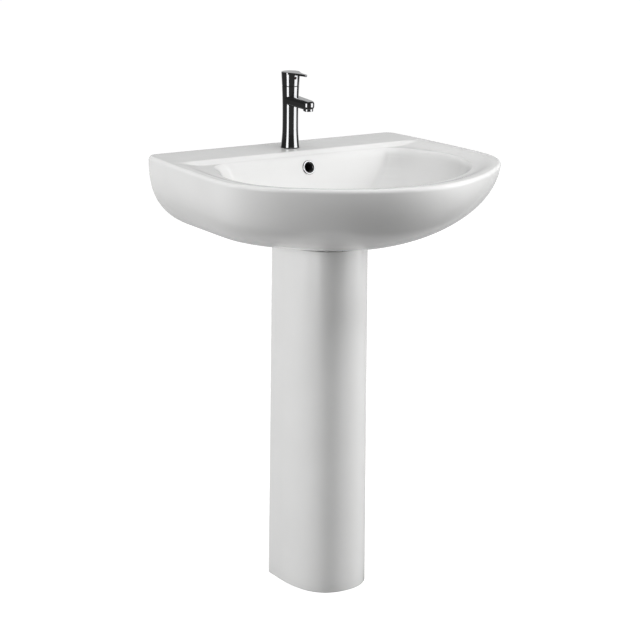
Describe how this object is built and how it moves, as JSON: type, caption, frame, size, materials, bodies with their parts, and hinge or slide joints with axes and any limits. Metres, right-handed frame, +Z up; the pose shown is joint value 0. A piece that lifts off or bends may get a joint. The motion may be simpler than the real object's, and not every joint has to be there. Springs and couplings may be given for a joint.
{
  "type": "pedestal sink",
  "caption": "Wall-backed china wash basin on a hollow column, with a single-lever mixer tap, a click-to-close waste and a bottle trap.",
  "frame": {"origin": "on the floor, under the middle of the basin's plan", "axes": "+Z up, -Y to the front, the wall is the plane y = 0.264, +X to the right of someone facing the wall"},
  "size_m": [0.6024, 0.5279, 0.998],
  "materials": {
    "china": "white glaze, glossy",
    "chrome": "polished chrome plate",
    "brass": "machined",
    "copper": "drawn copper tube",
    "rubber": "matt black rubber",
    "white_plastic": "moulded white polypropylene",
    "grey_plastic": "moulded grey acetal",
    "disc_ceramic": "lapped alumina",
    "steel": "turned stainless steel",
    "index_red": "glossy coloured plastic"
  },
  "bodies": {
    "sink": {"basin": "china", "pedestal": "china", "pedestal_pads": "rubber", "overflow_ring": "chrome", "tap_body": "chrome", "tap_base_ring": "rubber", "cartridge_seals": "rubber", "cartridge_housing": "grey_plastic", "fixed_disc": "disc_ceramic", "cartridge_nut": "brass", "cover_ring": "chrome", "aerator_housing": "chrome", "aerator_insert": "grey_plastic", "aerator_washer": "rubber", "tap_stud": "steel", "tap_rubber_washer": "rubber", "tap_clamp_plate": "steel", "tap_nut": "brass", "hot_tail": "copper", "cold_tail": "copper", "tail_seals": "rubber", "waste_body": "chrome", "waste_top_seal": "rubber", "waste_bottom_seal": "rubber", "waste_backnut": "brass", "plug_guide": "grey_plastic", "plug_spring": "steel", "trap_inlet_nut": "white_plastic", "trap_inlet_washer": "rubber", "trap_body": "white_plastic", "trap_cup": "white_plastic", "trap_cup_seal": "rubber", "trap_outlet_nut": "white_plastic", "trap_outlet_washer": "rubber", "outlet_pipe": "white_plastic"},
    "swivel": {"cartridge_rotor": "grey_plastic", "spindle_pin": "steel"},
    "handle": {"spindle": "steel", "lever": "chrome", "lever_grub_screw": "steel", "lever_index_cap": "index_red"},
    "upper_disc": {"moving_disc": "disc_ceramic", "disc_carrier": "grey_plastic"},
    "plug": {"plug_cap": "chrome", "plug_seal": "rubber", "plug_stem": "steel"}
  },
  "joints": [
    {"name": "lever_swing", "type": "hinge", "parent": "sink", "child": "swivel", "pos_m": [0, 0.204, 0.961], "axis": [0, 0, 1], "range_deg": [-45, 45]},
    {"name": "lever_lift", "type": "hinge", "parent": "swivel", "child": "handle", "pos_m": [0, 0.204, 0.961], "axis": [-1, 0, 0], "range_deg": [0, 18]},
    {"name": "disc_slide", "type": "slide", "parent": "swivel", "child": "upper_disc", "axis": [0, -1, 0], "range_m": [0, 0.0026]},
    {"name": "plug_lift", "type": "slide", "parent": "sink", "child": "plug", "axis": [0, 0, 1], "range_m": [0, 0.009], "deforming": ["plug_spring"]}
  ],
  "couplings": [
    {"joint": "disc_slide", "follows": "lever_lift", "m_per_rad": 0.0082}
  ]
}
